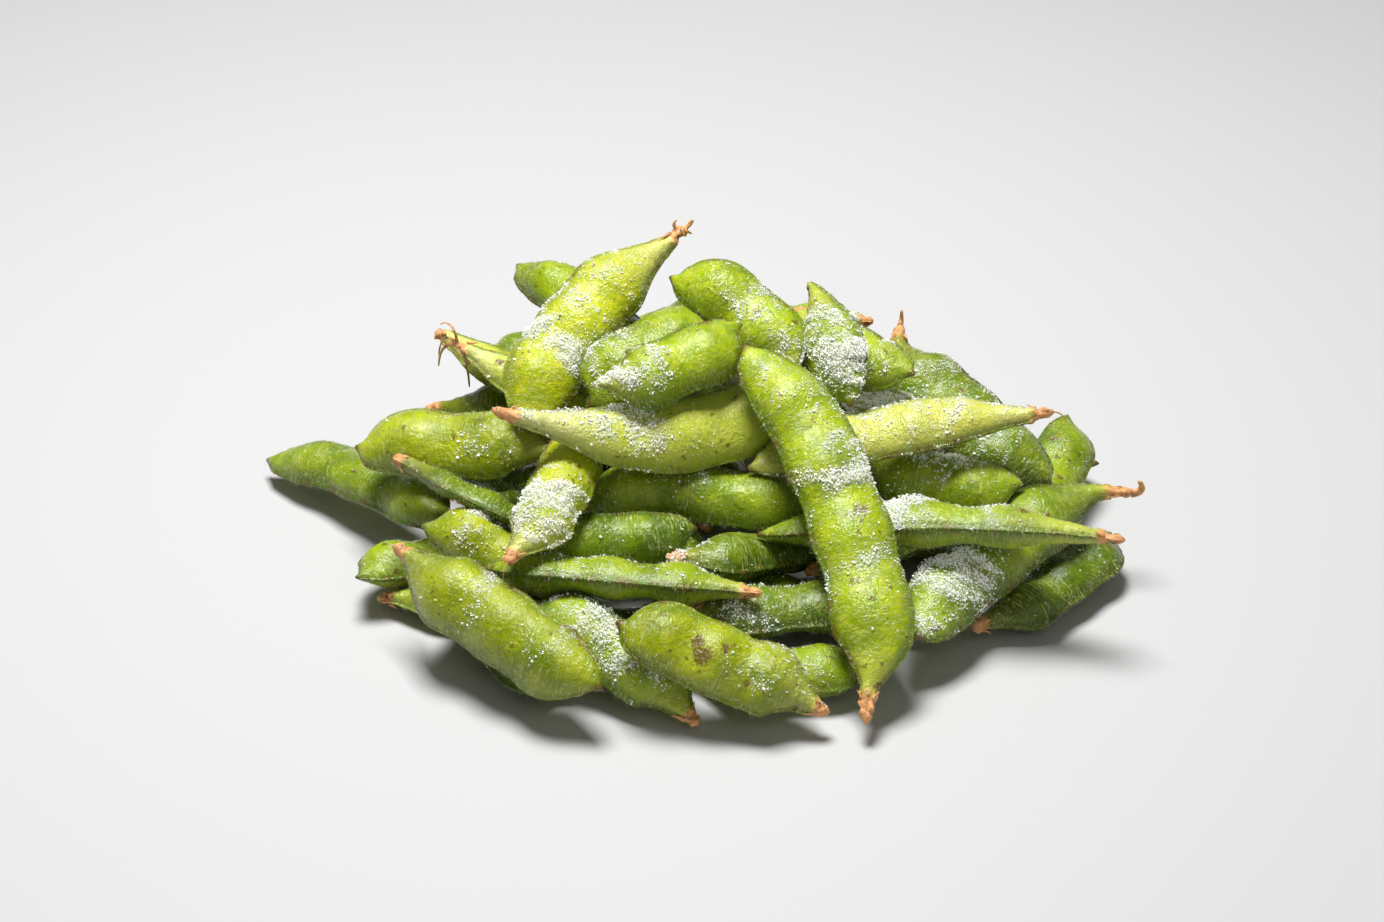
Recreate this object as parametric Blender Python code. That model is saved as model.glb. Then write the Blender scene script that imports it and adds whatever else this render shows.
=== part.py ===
"""Bunch of cooked edamame pods: every pod is one closed solid, laid on the pods under it."""

import itertools
import math
from typing import NamedTuple

import bmesh
import bpy
import numpy as np
from mathutils import Matrix, Vector
from mathutils.bvhtree import BVHTree
from mathutils.kdtree import KDTree

# Lengths and places are in millimetres, angles in degrees.
MM = 0.001
SIDES = 10                   # facets round a pod
BANDS = 14                   # bands of facets along a pod
STUB = 1.5                   # half width of the stem stub
STUB_END = 0.07              # the lengths along a pod run from 0, at the stem, to 1, at the tip
TIP_START = 0.74             # from here the pod narrows to its tip
FIRST_BEAN = 0.17            # the beans share the pod from here
LAST_BEAN = 0.95             # to here
WAIST_WIDTH = 0.07           # how much narrower the pod is between two beans
WAIST_THICKNESS = 0.26       # how much thinner it is there
NECK_LEAN = 0.22             # the ends lean towards the straighter seam, in pod widths
TIP_LEAN = 0.20
HOOK_END = 0.14              # a hooked stem straightens by here
CUT_END = 0.02               # the cut end of the stub is rounded over this much of the pod
STRIDE = 0.004               # the middle line's direction is read between two places this far apart
GAP = 0.3                    # room left between pods that touch
BALL_ROWS = 14               # a pod is filled with rows of three balls, to find what it overlaps
EDGE_BALL = 0.7              # the outer balls' share of the middle one's size
HIDDEN_WEIGHT = 0.2          # a pod inside the bunch makes way more readily
ROUNDS = 400                 # rounds of making room
FEW_ROUNDS = 40              # rounds after a gap is widened
LOOK_AGAIN = 10              # rounds between two looks for what is near
REACH = 2.0                  # how far two pods may come closer in that time
WIDEN = 0.3                  # what a pair's gap is widened by, if they still touch
DROP = 0.2                   # a pod is lowered in steps of this
MOST_DROP = 4.0              # by this at most
EASE = 0.5                   # the share of the turn asked of a pod that it makes in a round
PULL = 0.03                  # the share of the way back to its own place that a pod takes in a round
SINK = 0.04                  # how far a pod sinks in a round, if nothing is under it
FADE_START = 0.5             # the pull and the sinking fade away over this stretch of the rounds
FADE_END = 0.9
TINY = 1e-6                  # keeps a distance of nothing from being divided by
NO_TURN = 1e-12              # gives an axis to a pod that isn't turned


class Pod(NamedTuple):
    """One pod: where its stem and tip go before it settles, its size and its bends."""
    name: str
    stem: tuple
    tip: tuple
    wide: float = 13.0       # from seam to seam
    thick: float = 9.0       # over a bean
    beans: int = 3
    roll: float = 0.0        # turn about its own length; 0 lies flat
    bow: float = 0.0         # bend towards its straighter seam
    arch: float = 0.0        # bend upwards, over its flat side
    wave: float = 0.0        # bend one way and then the other
    hook: float = 0.0        # how far the stem stub curls to the side
    neck: float = 0.30       # the share of the pod over which it widens from the stub
    point: float = 0.60      # 0.5 is a round tip and 1 a sharp one
    skin: str = "fresh"
    hidden: bool = False     # inside or at the back of the bunch


SKINS = {
    "fresh": (0.20, 0.36, 0.03),
    "yellow": (0.36, 0.44, 0.06),
    "dark": (0.10, 0.22, 0.02),
    "pale": (0.45, 0.50, 0.16),
}
SKIN_ROUGHNESS = 0.45

# From the table up: each pod settles on the ones before it.
PODS = (
    # the layer on the table
    Pod("under_left", (-46, 15, 5), (8, 20, 5), skin="dark", hidden=True),
    Pod("under_middle", (18, 34, 5), (-38, 32, 5), bow=3, skin="dark", hidden=True),
    Pod("under_back", (-38, 40, 5), (16, 47, 5), bow=2, hidden=True),
    Pod("back_edge", (34, 60, 5), (-20, 56, 5), bow=-3, hidden=True),
    Pod("under_right", (60, 4, 5), (12, 8, 5), skin="dark", hidden=True),
    Pod("back_right_edge", (24, 52, 5), (64, 34, 5), bow=3, hidden=True),
    Pod("right_edge", (34, 30, 5), (76, 24, 5), wide=12, thick=8, beans=2, skin="dark", hidden=True),
    Pod("under_front", (46, -18, 5), (-8, -14, 5), bow=2, skin="dark", hidden=True),
    Pod("right_low", (52, -30, 5), (80, -1, 5), wide=12, skin="dark"),
    Pod("right_upright", (63, -1, 9), (75, 29, 16), wide=11, thick=7, beans=2, roll=15, point=0.9),
    Pod("left_low", (-36, 0, 8), (-60, -20, 4), wide=11, beans=2, point=0.8),
    Pod("front_stub", (-56, -23, 4), (-14, -19, 5), wide=11, thick=8),
    Pod("front_between", (-45, -16, 10), (-23, -44, 5), skin="dark"),
    Pod("front_shaded", (-33, -26, 8), (8, -34, 6), skin="dark"),
    Pod("front_low", (-1, -44, 5), (31, -42, 5), wide=12, beans=2),
    Pod("front_dark", (-2, -34, 9), (30, -29, 11), wide=12, beans=2, skin="dark"),
    Pod("front_left", (-54, -22, 14), (-14, -50, 5), thick=10, roll=35, bow=2, skin="yellow"),
    Pod("front_salted", (2, -51, 5), (-29, -31, 12), wide=12, beans=2, roll=-30),
    Pod("front_spotted", (25, -50, 6), (-12, -43, 16), roll=-35, bow=2, point=0.5, skin="yellow"),
    # the second layer
    Pod("inner_left", (-30, 2, 13), (-20, 52, 13), skin="dark", hidden=True),
    Pod("inner_middle", (4, -4, 13), (2, 56, 13), bow=3, skin="dark", hidden=True),
    Pod("inner_right", (27, 54, 13), (28, -2, 13), bow=-3, skin="dark", hidden=True),
    Pod("inner_far_right", (47, 46, 13), (46, 2, 13), beans=2, hidden=True),
    Pod("inner_back_left", (-50, 24, 15), (-6, 21, 20), skin="dark", hidden=True),
    Pod("olive_right", (35, 31, 30), (62, -1, 13), wide=14, roll=20, arch=3, hook=4, point=0.5, skin="dark"),
    Pod("hooked_right", (76, 2, 23), (39, -38, 11), roll=-25, bow=-1, arch=-4, hook=5, point=0.5),
    Pod("far_left", (-40, -10, 12), (-80, 31, 8), wide=11, roll=-20, bow=-3),
    Pod("right_pale", (30, 14, 18), (54, 9, 16), wide=11, beans=2, skin="pale"),
    Pod("salted_ridge", (77, -25, 23), (13, -15, 17), wide=12, thick=9, roll=25, arch=2, neck=0.42),
    Pod("right_bean", (31, 5, 21), (60, -5, 20), wide=12, beans=2, roll=30, point=0.7),
    Pod("brown_tip", (19, -19, 12), (42, -2, 9), wide=11, beans=2, skin="dark", hidden=True),
    Pod("pink_stem", (-2, -30, 16), (27, -8, 13), wide=11, beans=2, skin="dark", hidden=True),
    Pod("dark_stub", (4, -22, 14), (-15, 10, 16), wide=11, beans=2, skin="dark", hidden=True),
    Pod("green_round", (-34, -22, 17), (-3, -21, 20), wide=10, beans=2, roll=40),
    Pod("front_ridge", (11, -33, 16), (-36, -21, 19), wide=12, thick=8, roll=25),
    Pod("left_salted", (-22, -26, 11), (-46, -14, 19), wide=10, beans=2, roll=-35, point=0.8, skin="yellow"),
    Pod("left_edge", (-22, -2, 19), (-51, 8, 19), wide=11, thick=6, roll=25, skin="dark"),
    Pod("long_neck", (-54, -1, 24), (-24, -20, 16), wide=10, thick=5, roll=-30, neck=0.4, skin="dark"),
    Pod("two_bean", (-22, 0, 26), (-61, 10, 19), beans=2, roll=-40, bow=2, point=0.5, skin="yellow"),
    # the third layer
    Pod("inner_back", (30, 46, 22), (-28, 38, 22), bow=3, skin="dark", hidden=True),
    Pod("inner_front", (-18, 16, 22), (34, 20, 22), skin="dark", hidden=True),
    Pod("mid_band", (27, -6, 23), (-22, -11, 25), wide=11, thick=9, roll=-35, wave=2),
    Pod("right_long", (65, 2, 35), (10, -4, 26), wide=11, thick=7, beans=4, roll=-25, neck=0.4,
        skin="yellow"),
    Pod("olive_back", (-42, 24, 28), (-16, 36, 33), wide=11, beans=2, skin="dark"),
    Pod("stub_low", (-45, 26, 30), (-14, 7, 28), wide=9, thick=6, neck=0.5, roll=15, skin="pale"),
    Pod("stub_high", (-50, 32, 31), (-20, 16, 26), wide=9, thick=6, neck=0.5, roll=15, skin="yellow"),
    Pod("salted_scrap", (28, 18, 33), (45, 3, 27), wide=10, beans=1, skin="pale"),
    # the top
    Pod("inner_top", (6, 40, 31), (2, -2, 31), skin="dark", hidden=True),
    Pod("back_thin", (35, 40, 31), (-4, 37, 34), wide=9, thick=6, roll=20),
    Pod("back_stub", (12, 36, 39), (-18, 26, 31), wide=11, beans=2, skin="yellow"),
    Pod("right_back_green", (18, 30, 38), (38, 5, 31), wide=11, roll=30),
    Pod("back_up", (-5, 11, 36), (-32, 53, 34), wide=11, roll=-20, point=0.5),
    Pod("hanging_salted", (-29, -36, 17), (-14, -4, 29), wide=11, roll=10, skin="yellow"),
    Pod("pale_stem", (-38, -11, 32), (20, 7, 34), wide=14, roll=45, bow=-5, neck=0.5, skin="pale"),
    Pod("upper_arched", (7, 21, 42), (-17, 3, 37), wide=14, thick=10, beans=2, arch=3, roll=-25, point=0.5),
    Pod("upper_left", (-18, -3, 33), (9, 8, 43), wide=12, beans=2, roll=40, point=0.8),
    Pod("top_right", (22, 6, 38), (-6, 22, 45), wide=12, beans=2, roll=-40, bow=-2),
    Pod("upper_tip", (17, 23, 47), (30, 5, 31), wide=12, beans=1, roll=30, bow=3, neck=0.5),
    Pod("crown", (-4, 38, 53), (-32, 0, 31), wide=14, thick=10, roll=-25, bow=-1, neck=0.4, point=0.5,
        skin="yellow"),
    Pod("front_long", (33, -56, 5), (12, 5, 44), wide=14, beans=4, roll=-10, bow=-5, neck=0.22, point=0.5),
)


def smooth(value, start, end):
    """0 before start, 1 after end, and a smooth step between them."""
    s = min(max((value - start) / (end - start), 0.0), 1.0)
    return s * s * (3.0 - 2.0 * s)


def waist(pod, along):
    """0 over a bean and 1 halfway between two."""
    pitch = (LAST_BEAN - FIRST_BEAN) / pod.beans
    return 0.5 + 0.5 * math.cos(2.0 * math.pi * (along - FIRST_BEAN) / pitch)


def middle(pod, length, along):
    """The middle line, in a frame whose X runs from stem to tip and whose Y points to the straighter seam."""
    swell = 4.0 * along * (1.0 - along)
    lean = NECK_LEAN * (1.0 - smooth(along, 0.0, pod.neck)) + TIP_LEAN * smooth(along, TIP_START, 1.0)
    curl = pod.hook * max(0.0, 1.0 - along / HOOK_END) ** 2
    side = pod.bow * swell + pod.wave * math.sin(2.0 * math.pi * along) + pod.wide * lean + curl
    return Vector((length * along, side, pod.arch * swell))


def section(pod, along):
    """Half width and half thickness at a place along the pod."""
    neck = smooth(along, STUB_END, pod.neck)
    past = max(0.0, (along - TIP_START) / (1.0 - TIP_START))
    cap = max(0.0, 1.0 - past ** 2) ** pod.point
    end = min(1.0, along / CUT_END) ** 0.5
    half_wide = STUB + (0.5 * pod.wide * (1.0 - WAIST_WIDTH * waist(pod, along)) - STUB) * neck
    half_thick = STUB + (0.5 * pod.thick * (1.0 - WAIST_THICKNESS * waist(pod, along)) - STUB) * neck
    return half_wide * cap * end, half_thick * cap * end


def skin_point(pod, length, along, round_angle):
    """A point of the skin; the angle runs round the pod from its straighter seam."""
    here = middle(pod, length, along)
    ahead = middle(pod, length, along + STRIDE) - middle(pod, length, along - STRIDE)
    side = Vector((-ahead.y, ahead.x, 0.0)).normalized()
    up = ahead.cross(side).normalized()
    half_wide, half_thick = section(pod, along)
    return here + side * half_wide * math.cos(round_angle) + up * half_thick * math.sin(round_angle)


def make_pod(pod):
    """A sphere whose height becomes the way along the pod and whose bearing becomes the way round it."""
    length = (Vector(pod.tip) - Vector(pod.stem)).length
    bm = bmesh.new()
    bmesh.ops.create_uvsphere(bm, u_segments=SIDES, v_segments=BANDS, radius=1.0)
    for vert in bm.verts:
        along = 0.5 * (1.0 + vert.co.z)
        vert.co = skin_point(pod, length, along, math.atan2(vert.co.y, vert.co.x)) * MM
    bmesh.ops.triangulate(bm, faces=bm.faces)
    mesh = bpy.data.meshes.new(pod.name)
    bm.to_mesh(mesh)
    bm.free()
    mesh.shade_smooth()
    return mesh


def first_place(pod):
    """Stem at its place, X towards the tip, and Z up, turned by the roll."""
    stem = Vector(pod.stem) * MM
    ahead = (Vector(pod.tip) * MM - stem).normalized()
    side = Vector((0.0, 0.0, 1.0)).cross(ahead).normalized()
    up = ahead.cross(side)
    turn = Matrix((ahead, side, up)).transposed().to_4x4()
    return Matrix.Translation(stem) @ turn @ Matrix.Rotation(math.radians(pod.roll), 4, "X")


def balls(pod):
    """Balls that fill the pod, three across it: their centres, in the pod's own frame, and their radii."""
    length = (Vector(pod.tip) - Vector(pod.stem)).length
    centres = []
    radii = []
    for step in range(BALL_ROWS):
        along = 0.5 - 0.5 * math.cos(math.pi * (step + 0.5) / BALL_ROWS)
        here = middle(pod, length, along)
        half_wide, half_thick = section(pod, along)
        for side, size in ((0.0, 1.0), (1.0, EDGE_BALL), (-1.0, EDGE_BALL)):
            radius = size * half_thick
            centres.append(here + Vector((0.0, side * (half_wide - radius), 0.0)))
            radii.append(radius)
    return np.array(centres), np.array(radii)


class Heap:
    """The pods' places, as numpy arrays in millimetres, and the balls that fill them."""

    def __init__(self, pods):
        filled = [balls(pod) for pod in pods]
        wanted = np.array([first_place(pod) for pod in pods])
        self.length = np.array([(Vector(pod.tip) - Vector(pod.stem)).length for pod in pods])
        self.owner = np.repeat(np.arange(len(pods)), [len(radii) for _, radii in filled])
        self.radii = np.concatenate([radii for _, radii in filled])
        self.local = np.concatenate([c - (0.5 * size, 0.0, 0.0) for (c, _), size in zip(filled, self.length)])
        self.wanted_turns = wanted[:, :3, :3]
        self.turns = self.wanted_turns.copy()
        self.wanted = wanted[:, :3, 3] / MM + 0.5 * self.length[:, None] * self.turns[:, :, 0]
        self.places = self.wanted.copy()
        self.weight = np.array([HIDDEN_WEIGHT if pod.hidden else 1.0 for pod in pods])
        self.gaps = np.full((len(pods), len(pods)), GAP)

    def near(self, points):
        """The pairs of balls, of unlike pods, that are close enough to meet within a few rounds."""
        tree = KDTree(len(points))
        for index, point in enumerate(points):
            tree.insert(point, index)
        tree.balance()
        most = self.radii.max() + REACH
        pairs = [(index, other) for index, point in enumerate(points)
                 for _, other, _ in tree.find_range(point, self.radii[index] + most)
                 if self.owner[other] > self.owner[index]]
        return np.array(pairs).T

    def pushes(self, points, pairs):
        """The balls that overlap another pod's ball or the table, and how far each should move for it."""
        first, second = pairs
        one, two = self.owner[first], self.owner[second]
        least = self.radii[first] + self.radii[second] + self.gaps[one, two]
        share = (self.weight[two] / (self.weight[one] + self.weight[two]))[:, None]
        apart = points[first] - points[second]
        distance = np.maximum(np.linalg.norm(apart, axis=1), TINY)
        push = apart * (np.maximum(least - distance, 0.0) / distance)[:, None]
        lift = np.outer(np.maximum(self.radii - points[:, 2], 0.0), (0.0, 0.0, 1.0))
        hit = np.concatenate((first, second, np.arange(len(points))))
        push = np.concatenate((push * share, -push * (1.0 - share), lift))
        moved = np.any(push, axis=1)
        return hit[moved], push[moved]

    def shoves(self, arms, hit, push):
        """Each pod's mean move and its turn about its middle, from what pushes on its balls."""
        count = len(self.places)
        body, arm = self.owner[hit], arms[hit]
        hits = np.maximum(np.bincount(body, minlength=count), 1.0)[:, None]
        levers = np.maximum(np.bincount(body, (arm ** 2).sum(axis=1), count), 1.0)[:, None]
        moves = np.zeros((count, 3))
        spins = np.zeros((count, 3))
        np.add.at(moves, body, push)
        np.add.at(spins, body, np.cross(arm, push))
        return moves / hits, spins / levers

    def way_back(self):
        """The small turns that would bring the pods back to how they were placed."""
        back = np.einsum("nij,nkj->nik", self.wanted_turns, self.turns)
        return 0.5 * (back[:, (2, 0, 1), (1, 2, 0)] - back[:, (1, 2, 0), (2, 0, 1)])

    def turn_by(self, spins):
        """Turns each pod about its middle; a spin is an axis as long as its angle in radians."""
        small = np.array([Matrix.Rotation(Vector(v).length, 3, Vector(v)) for v in spins + NO_TURN])
        self.turns = np.einsum("nij,njk->nik", small, self.turns)

    def make_room(self, rounds, pull, sink):
        """Moves and turns apart what overlaps, while each pod is drawn to its own place and sinks."""
        for step in range(rounds):
            arms = np.einsum("nij,nj->ni", self.turns[self.owner], self.local)
            points = self.places[self.owner] + arms
            if step % LOOK_AGAIN == 0:
                pairs = self.near(points)
            moves, spins = self.shoves(arms, *self.pushes(points, pairs))
            fade = 1.0 - smooth(step / rounds, FADE_START, FADE_END)
            self.places += moves + fade * pull * (self.wanted - self.places)
            self.places[:, 2] -= fade * sink
            self.turn_by(EASE * spins + fade * pull * self.way_back())

    def matrices(self):
        """Each pod's place in metres, with its stem at the origin of its own frame."""
        stems = self.places - 0.5 * self.length[:, None] * self.turns[:, :, 0]
        return [Matrix.Translation(Vector(stem) * MM) @ Matrix(turn.tolist()).to_4x4()
                for stem, turn in zip(stems, self.turns)]


def grown(mesh):
    """The skin's points, moved out by half the gap, and its faces."""
    points = [v.co + v.normal * 0.5 * GAP * MM for v in mesh.vertices]
    return points, [tuple(face.vertices) for face in mesh.polygons]


def tree_of(skin, place):
    """A search tree of a grown skin at a place."""
    points, faces = skin
    return BVHTree.FromPolygons([place @ p for p in points], faces)


def lay(heap, skins):
    """The places once every pod is clear of the others; pods that still touch get a wider gap."""
    heap.make_room(ROUNDS, PULL, SINK)
    while True:
        places = heap.matrices()
        trees = [tree_of(skin, place) for skin, place in zip(skins, places)]
        pairs = itertools.combinations(range(len(trees)), 2)
        touching = [(i, j) for i, j in pairs if trees[i].overlap(trees[j])]
        if not touching:
            return places
        for i, j in touching:
            heap.gaps[i, j] += WIDEN
            heap.gaps[j, i] += WIDEN
        heap.make_room(FEW_ROUNDS, 0.0, 0.0)


def lower(places, skins):
    """Lowers the pods, the lowest first, until the table or a pod that is laid holds them."""
    order = sorted(range(len(places)), key=lambda i: min((places[i] @ p).z for p in skins[i][0]))
    trees = [tree_of(skin, place) for skin, place in zip(skins, places)]
    for i in order:
        others = trees[:i] + trees[i + 1:]
        fallen = 0.0
        while fallen < MOST_DROP:
            trial = Matrix.Translation((0.0, 0.0, -DROP * MM)) @ places[i]
            tree = tree_of(skins[i], trial)
            if min((trial @ p).z for p in skins[i][0]) < 0.0 or any(tree.overlap(other) for other in others):
                break
            places[i], trees[i] = trial, tree
            fallen += DROP


def make_skin(name, colour):
    """The matt, slightly waxy skin of a cooked pod."""
    material = bpy.data.materials.new(name)
    material.use_nodes = True
    shader = material.node_tree.nodes["Principled BSDF"]
    shader.inputs["Base Color"].default_value = (*colour, 1.0)
    shader.inputs["Roughness"].default_value = SKIN_ROUGHNESS
    shader.inputs["Metallic"].default_value = 0.0
    return material


def stand(pods):
    """Moves the pods together, so that their box stands on the ground with its middle over the origin."""
    points = [pod.matrix_world @ v.co for pod in pods for v in pod.data.vertices]
    low = Vector([min(p[i] for p in points) for i in range(3)])
    high = Vector([max(p[i] for p in points) for i in range(3)])
    base = Vector((0.5 * (low.x + high.x), 0.5 * (low.y + high.y), low.z))
    for pod in pods:
        pod.location -= base


def build():
    """Lays every pod and stands the bunch at the origin."""
    for old in list(bpy.data.objects):
        bpy.data.objects.remove(old, do_unlink=True)
    bunch = bpy.data.collections.new("edamame_pod_bundle")
    bpy.context.scene.collection.children.link(bunch)
    skins = {name: make_skin(name, colour) for name, colour in SKINS.items()}
    meshes = [make_pod(pod) for pod in PODS]
    grown_skins = [grown(mesh) for mesh in meshes]
    places = lay(Heap(PODS), grown_skins)
    lower(places, grown_skins)
    pods = []
    for row, mesh, place in zip(PODS, meshes, places):
        mesh.materials.append(skins[row.skin])
        pod = bpy.data.objects.new(row.name, mesh)
        pod.matrix_world = place
        bunch.objects.link(pod)
        pods.append(pod)
    stand(pods)


build()
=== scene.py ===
"""Looks of a bunch of cooked, salted edamame pods: skins, stems, hairs and salt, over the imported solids."""

import functools
import itertools
import math
from typing import NamedTuple

import bmesh
import bpy
import numpy as np
from bpy.props import FloatProperty, FloatVectorProperty, IntProperty, PointerProperty
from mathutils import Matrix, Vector
from mathutils.kdtree import KDTree


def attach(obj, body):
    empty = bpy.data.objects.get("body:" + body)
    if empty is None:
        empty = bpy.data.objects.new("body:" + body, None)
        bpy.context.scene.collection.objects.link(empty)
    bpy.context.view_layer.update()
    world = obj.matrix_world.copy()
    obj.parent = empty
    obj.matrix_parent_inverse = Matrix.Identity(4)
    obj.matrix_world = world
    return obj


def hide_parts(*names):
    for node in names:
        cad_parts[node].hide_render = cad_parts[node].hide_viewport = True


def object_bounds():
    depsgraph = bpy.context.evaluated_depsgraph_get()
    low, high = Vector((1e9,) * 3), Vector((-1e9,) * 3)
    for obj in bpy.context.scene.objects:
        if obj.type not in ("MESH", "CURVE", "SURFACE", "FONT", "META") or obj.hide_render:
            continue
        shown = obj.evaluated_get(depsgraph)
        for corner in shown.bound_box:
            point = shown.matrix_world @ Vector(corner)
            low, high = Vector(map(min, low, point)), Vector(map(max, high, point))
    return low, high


bl_info = {
    "name": "Edamame Pod Bundle",
    "version": (1, 0, 0),
    "blender": (4, 5, 0),
    "location": "3D View > Sidebar > Edamame",
    "description": "Finishes a bunch of cooked and salted edamame pods",
    "category": "Object",
}

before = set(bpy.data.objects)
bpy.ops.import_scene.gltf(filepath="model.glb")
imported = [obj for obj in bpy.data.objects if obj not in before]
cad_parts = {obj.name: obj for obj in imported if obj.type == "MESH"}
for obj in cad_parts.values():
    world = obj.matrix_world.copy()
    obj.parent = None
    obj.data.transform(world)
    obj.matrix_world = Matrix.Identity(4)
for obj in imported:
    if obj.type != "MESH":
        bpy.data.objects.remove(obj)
CAD_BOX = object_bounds()

# Sizes and places are in millimetres, angles round a pod in degrees, unless a name says otherwise.
MM = 0.001
TURN = 2.0 * math.pi

# The rules that the solids follow. Lengths along a pod run from 0, at the stem, to 1, at the tip.
SIDES = 10                   # facets round a solid
BANDS = 14                   # bands of facets along it
STUB = 1.5                   # half width of the stem stub
STUB_END = 0.07
TIP_START = 0.74             # from here the pod narrows to its tip
FIRST_BEAN = 0.17            # the beans share the pod from here
LAST_BEAN = 0.95             # to here
WAIST_WIDTH = 0.07           # how much narrower the pod is between two beans
WAIST_THICKNESS = 0.26       # how much thinner it is there
NECK_LEAN = 0.22             # the ends lean towards the straighter seam, in pod widths
TIP_LEAN = 0.20
HOOK_END = 0.14              # a hooked stem straightens by here
CUT_END = 0.02               # the cut end of the stub is rounded over this much of the pod
STRIDE = 0.004               # the middle line's direction is read between two places this far apart
FIT_ROUNDS = 6               # rounds of fitting a pod to its solid
FIT_ERROR = 0.15             # the most that a corner may be off

# What the skins add to the solids.
BUNCHING = 0.30              # how much closer together the corners are near the seams
STALK_START = 0.6 * STUB_END  # the stalk turns into the pod between these two
STALK_STOP = 1.7 * STUB_END
STALK_SLIM = 0.36            # how much slimmer the stalk is than the stub
GREEN_SLIM = 0.2             # the share of its width left at the end of a green stalk
CALYX_RISE = 0.32            # the ring where the stalk meets the pod
CALYX_WIDTH = 0.8
TIP_PLAIN = 0.97             # seams and lumps fade out from here to the tip
BEAK_START = 0.9             # the beak rises from here to there
BUD_RADIUS = 0.9             # of the beak
SEAM_WIDTH = 0.13            # half width of the seam's bead, in radians round the pod
GROOVE_WIDTH = 0.05
GROOVE_DEPTH = 0.5           # the groove along the bead, as a share of its height
BACK_SEAM = 0.75             # the other seam's bead, as a share of the first
# The darker skin along a seam is partly a darker seam line and partly painted shade, spread over the pod's
# edges, which turn away from the light.
SEAM_DARK_AND_SHADE = 0.45            # half width of the darker skin along a seam
LUMP = 7.0                   # sizes of the skin's lumps
SMALL_LUMP = 2.6
SMALL_SHARE = 0.4            # height of the small lumps, as a share of the large ones
CREASE = 2.2                 # length of a crease, which runs across the pod
CREASE_STRETCH = (3.0, 1.0, 1.0)    # it is this much narrower along the pod
RAGGED = 0.28                # height and size of the lumps on a dried stalk
RAGGED_LUMP = 1.3
SKIN_WAVES = 7               # waves that add up to one field of lumps
LUMP_PITCH = 2.4             # turns those waves into a lump's size
GREEN_NECK = 0.2             # how pale the neck of the greenest pod is
TINY = 1e-6

# What is left at the stem.
TUBE_SIDES = 6
TUBE_FLATNESS = 0.55         # a sepal or thread is this much thinner than wide
SEPAL_WIDTHS = (0.50, 0.46, 0.36, 0.24, 0.08)
THREAD_STEPS = 9
THREAD_SPREAD = 0.8          # how far the threads of one stem fan out
STUB_SALT = 0.3              # the share of the salt that loose bits hold

# Where the salt and the hairs are.
SALT_LOW = 0.10              # how far up a surface has to face to hold salt, and to hold it all
SALT_HIGH = 0.85
PATCH = 5.0                  # sizes of the patches in a dusting and of the lumps in a heap
GRAINY = 1.4
HEAP_EDGE = 6.0              # the size of the bends in a heap's edge
GRAIN_SIDES = (1.0, 1.0, 0.6)
GRAIN_LEAN = 0.8             # how far a grain leans off the skin's normal
STUB_FUZZ = 0.3              # the share of the hairs that a stalk, and the flat sides, have
SIDE_FUZZ = 0.55
HAIRLESS = 1.2               # no hairs grow this near to the table, where they would go through it
REGIONS = 6                  # pieces that each kind of salt and the hairs are split into

# The slots of the skins, the colours that each slot has of its own, and those that all of them share.
SLOTS = ("fresh", "yellow", "dark", "pale")
SLOT_COLOURS = ("Deep", "Bright", "Yellow", "Neck")
SHARED_COLOURS = ("Stem", "Scar", "Hair", "Salt")

# How many times a metre the patterns of the skin repeat.
BROAD = 110.0
PALE_PATCHES = 190.0
CLOUDY = 300.0
SPECKLED = 520.0
BARK = 900.0
PITTED = 1000.0
FINE = 2600.0
STREAKS = (450.0, 3200.0, 1.0)    # hairs pressed to the skin, round the pod and along it

# The stage.
CAMERA_AIM = (0.1, -5.2, 22.3)    # the point that the camera looks at
KEY_PLACE = (-60.0, 100.0, 620.0)
KEY_SIZE = 240.0
FILL_PLACE = (200.0, -500.0, 450.0)
FILL_SIZE = 500.0
LIT_POINT = (0.0, 0.0, 22.0)      # the point that the lights face
FILM_WIDTH = 36.0


class Stem(NamedTuple):
    """What is left of the flower and the stalk at the stem's end."""
    sepals: int = 3
    sepal: float = 1.5       # length
    threads: int = 0
    length: float = 4.0      # of a thread or a hook
    thick: float = 0.4       # half thickness of a thread where it starts
    curl: float = 0.3
    droop: float = 0.0
    green: bool = False      # an end that kept the skin's own colour


STEMS = {
    "stub": Stem(),
    "knob": Stem(sepals=0),
    "green": Stem(sepals=0, green=True),
    "frayed": Stem(sepals=3, sepal=2.6, threads=11, length=3.6, thick=0.6, curl=0.9, droop=0.3),
    "hook": Stem(sepals=1, threads=1, length=5.5, thick=1.1, curl=0.8),
    "prongs": Stem(sepals=3, sepal=2.6, threads=4, length=10.5, thick=0.5, curl=0.0, droop=0.5),
    "thread": Stem(sepals=2, threads=1, length=6.0, thick=0.2, curl=0.15, droop=0.35),
}


class Pod(NamedTuple):
    """One pod: the sizes and bends of its solid, and its looks."""
    name: str
    length: float
    wide: float = 13.0
    thick: float = 9.0
    beans: int = 3
    bow: float = 0.0
    arch: float = 0.0
    wave: float = 0.0
    hook: float = 0.0
    neck: float = 0.30
    point: float = 0.60
    slot: str = "fresh"
    hidden: bool = False
    # Besides ripeness this holds painted light: lower on the front pods, which lie in shade, higher on the
    # lit pods at the top.
    ripeness_and_painted_light: float = 0.5        # 0 is deep green and 1 yellow
    frost: float = 0.0       # how pale the dried salt water leaves the whole skin
    salt: tuple = ()         # heaps of salt: how far along, how long, and how thick from 0 to 1
    marks: tuple = ()        # brown marks: how far along, the angle round the pod, and the size
    stem: str = "stub"


# Each pod's ripeness is partly painted light: the front pods are greener and darker where they lie in shade,
# the top pods yellower and brighter where light falls.
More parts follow.
